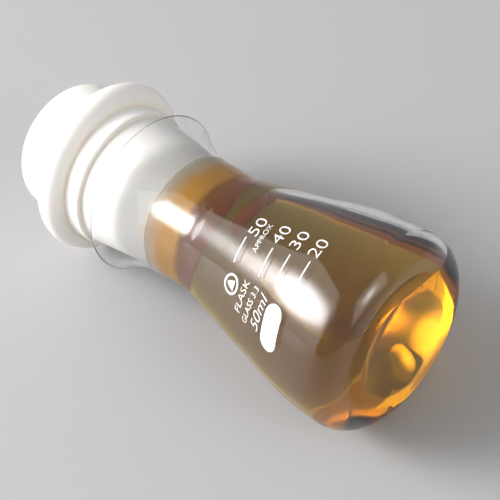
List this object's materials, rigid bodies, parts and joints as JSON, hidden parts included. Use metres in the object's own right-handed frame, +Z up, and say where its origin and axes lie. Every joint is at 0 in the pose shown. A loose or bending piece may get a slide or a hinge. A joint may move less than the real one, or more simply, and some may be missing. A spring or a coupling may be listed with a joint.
{
  "type": "conical flask with stopper",
  "caption": "Small wide-neck conical laboratory flask lying on its side, filled with amber liquid and closed by a flanged silicone stopper that pulls out.",
  "frame": {"origin": "middle of the bounding box, on the surface the flask lies on", "axes": "+X from the flask's base towards its stopper, level; +Z up; the flask lies on its heel and on the stopper's flange, so its own axis dips 1.43 degrees towards the stopper"},
  "size_m": [0.1182, 0.0518, 0.0518],
  "materials": {
    "clear_glass": "clear blown borosilicate glass, fire-polished rim",
    "silicone": "matt white moulded silicone rubber",
    "amber_liquid": "clear amber liquid",
    "white_enamel": "white fired enamel print"
  },
  "bodies": {
    "flask": {"flask_body": "clear_glass", "liquid": "amber_liquid", "graduation_lines": "white_enamel", "graduation_numerals": "white_enamel", "approx_mark": "white_enamel", "capacity_mark": "white_enamel", "glass_mark": "white_enamel", "name_mark": "white_enamel", "ring_mark": "white_enamel", "writing_patch": "white_enamel"},
    "stopper": {"stopper": "silicone"}
  },
  "joints": [
    {"name": "stopper_pull", "type": "slide", "parent": "flask", "child": "stopper", "axis": [0.9997, 0, -0.0249], "range_m": [0, 0.04]}
  ]
}
